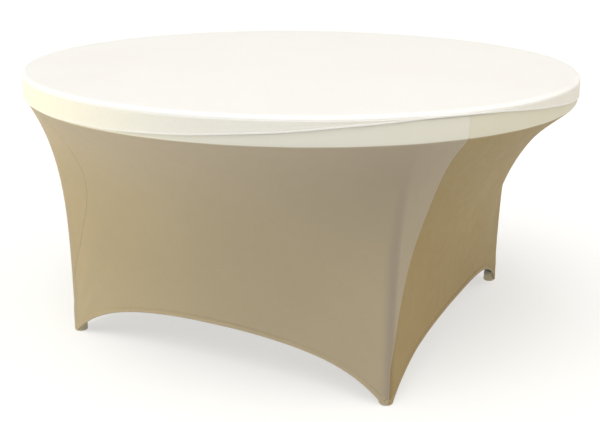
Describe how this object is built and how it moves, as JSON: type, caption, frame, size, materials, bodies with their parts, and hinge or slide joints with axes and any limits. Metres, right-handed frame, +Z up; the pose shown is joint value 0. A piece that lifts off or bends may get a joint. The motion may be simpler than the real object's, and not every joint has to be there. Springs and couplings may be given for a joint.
{
  "type": "tablecloth on a table",
  "caption": "Fitted stretch tablecloth with foot pockets and a separate stretch topper, on a round folding table with two folding leg frames.",
  "frame": {"origin": "on the floor under the middle of the table", "axes": "+Z up, +X to the right leg frame, both fold axes along Y"},
  "size_m": [1.535, 1.535, 0.742],
  "materials": {
    "topper_knit": "ivory stretch knit, soft sheen",
    "cover_knit": "cream stretch knit, taut, soft sheen",
    "hem_knit": "cream knit, turned and cover stitched",
    "moulded_plastic": "pebbled off-white plastic",
    "coated_steel": "grey powder coat",
    "zinc_steel": "bright zinc plate",
    "foot_rubber": "black moulded rubber"
  },
  "bodies": {
    "root": {"brace_bracket_left": "zinc_steel", "brace_bracket_right": "zinc_steel", "bracket_pin_left": "zinc_steel", "bracket_pin_right": "zinc_steel", "cover_hem_back": "hem_knit", "cover_hem_front": "hem_knit", "cover_hem_left": "hem_knit", "cover_hem_right": "hem_knit", "cover_panel_back": "cover_knit", "cover_panel_front": "cover_knit", "cover_panel_left": "cover_knit", "cover_panel_right": "cover_knit", "cover_top": "cover_knit", "foot_pocket_left_back": "hem_knit", "foot_pocket_left_front": "hem_knit", "foot_pocket_right_back": "hem_knit", "foot_pocket_right_front": "hem_knit", "pivot_hanger_left_back": "zinc_steel", "pivot_hanger_left_front": "zinc_steel", "pivot_hanger_right_back": "zinc_steel", "pivot_hanger_right_front": "zinc_steel", "rail_screw_1": "zinc_steel", "rail_screw_2": "zinc_steel", "rail_screw_3": "zinc_steel", "rail_screw_4": "zinc_steel", "rail_screw_5": "zinc_steel", "rail_screw_6": "zinc_steel", "rail_screw_7": "zinc_steel", "rail_screw_8": "zinc_steel", "side_rail_back": "coated_steel", "side_rail_front": "coated_steel", "table_top": "moulded_plastic"},
    "topper": {"topper_band": "topper_knit", "topper_elastic": "topper_knit", "topper_top": "topper_knit"},
    "leg_frame_right": {"cross_tube_right": "coated_steel", "foot_cap_right_back": "foot_rubber", "foot_cap_right_front": "foot_rubber", "leg_tube_right_back": "coated_steel", "leg_tube_right_front": "coated_steel", "pivot_tube_right": "coated_steel"},
    "brace_upper_right": {"brace_upper_link_right": "zinc_steel"},
    "brace_lower_right": {"brace_lower_link_right": "zinc_steel", "elbow_rivet_right": "zinc_steel"},
    "leg_frame_left": {"cross_tube_left": "coated_steel", "foot_cap_left_back": "foot_rubber", "foot_cap_left_front": "foot_rubber", "leg_tube_left_back": "coated_steel", "leg_tube_left_front": "coated_steel", "pivot_tube_left": "coated_steel"},
    "brace_upper_left": {"brace_upper_link_left": "zinc_steel"},
    "brace_lower_left": {"brace_lower_link_left": "zinc_steel", "elbow_rivet_left": "zinc_steel"}
  },
  "joints": [
    {"name": "topper_lift", "type": "slide", "parent": "root", "child": "topper", "axis": [0, 0, 1], "range_m": [0, 0.15]},
    {"name": "leg_fold_right", "type": "hinge", "parent": "root", "child": "leg_frame_right", "pos_m": [0.467, 0, 0.695], "axis": [0, 1, 0], "range_deg": [0, 90]},
    {"name": "brace_upper_turn_right", "type": "hinge", "parent": "root", "child": "brace_upper_right", "pos_m": [0.167, 0, 0.695], "axis": [0, 1, 0], "range_deg": [0, 146.32]},
    {"name": "brace_lower_turn_right", "type": "hinge", "parent": "leg_frame_right", "child": "brace_lower_right", "pos_m": [0.467, 0, 0.495], "axis": [0, 1, 0], "range_deg": [-123.7, 0]},
    {"name": "leg_fold_left", "type": "hinge", "parent": "root", "child": "leg_frame_left", "pos_m": [-0.467, 0, 0.655], "axis": [0, -1, 0], "range_deg": [0, 90]},
    {"name": "brace_upper_turn_left", "type": "hinge", "parent": "root", "child": "brace_upper_left", "pos_m": [-0.167, 0, 0.655], "axis": [0, -1, 0], "range_deg": [0, 146.32]},
    {"name": "brace_lower_turn_left", "type": "hinge", "parent": "leg_frame_left", "child": "brace_lower_left", "pos_m": [-0.467, 0, 0.455], "axis": [0, -1, 0], "range_deg": [-123.7, 0]}
  ],
  "couplings": [
    {"joint": "brace_upper_turn_right", "follows": "leg_fold_right", "ratio": 1.6257},
    {"joint": "brace_lower_turn_right", "follows": "leg_fold_right", "ratio": -1.3743},
    {"joint": "brace_upper_turn_left", "follows": "leg_fold_left", "ratio": 1.6257},
    {"joint": "brace_lower_turn_left", "follows": "leg_fold_left", "ratio": -1.3743}
  ]
}
